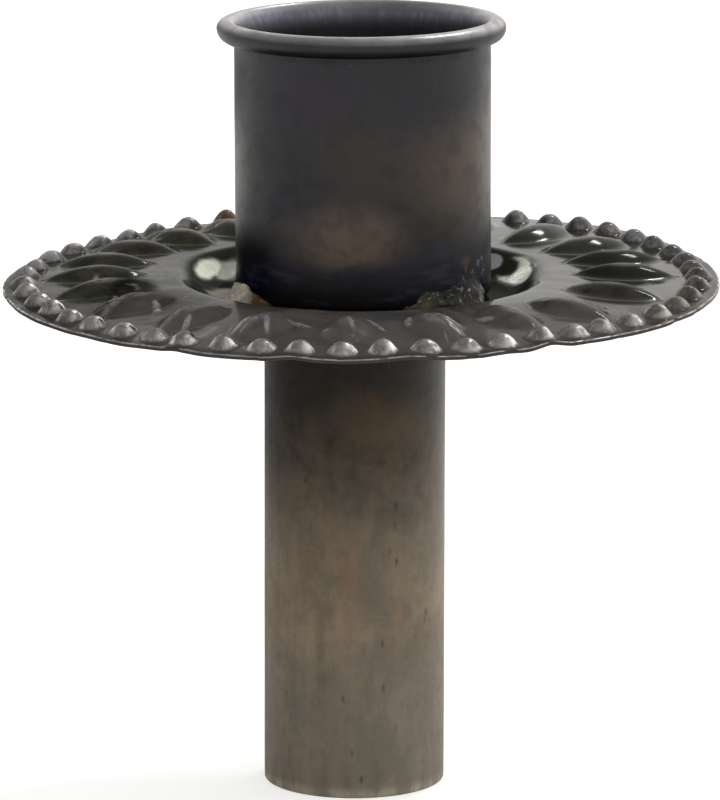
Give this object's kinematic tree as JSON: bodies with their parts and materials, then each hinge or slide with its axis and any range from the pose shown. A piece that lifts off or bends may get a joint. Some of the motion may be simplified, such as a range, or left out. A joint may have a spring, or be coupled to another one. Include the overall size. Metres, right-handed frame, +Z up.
{
  "type": "bottle candle holder",
  "caption": "Steel candle holder that turns a bottle into a candlestick: a cup with a rolled rim on an embossed drip plate, over a tube that drops into the bottle's neck.",
  "frame": {"origin": "on the drip plate's axis, level with the foot of the tube that stands on the surface", "axes": "+Z up from the tube to the cup's rim, -Y towards the viewer of the picture, +X to the right"},
  "size_m": [0.071, 0.071, 0.0768],
  "materials": {
    "blackened_cup": "blackened steel, satin, with blue and brown heat tints",
    "blackened_plate": "blackened steel, burnished on the high spots",
    "browned_tube": "browned steel with drawn streaks and fine pits",
    "braze": "rough brazing metal with flux crust"
  },
  "bodies": {
    "root": {"candle_cup": "blackened_cup", "drip_plate": "blackened_plate", "bottle_tube": "browned_tube", "tube_braze_ring": "braze", "cup_braze_left": "braze", "cup_braze_right": "braze", "cup_braze_back": "braze"}
  },
  "joints": []
}
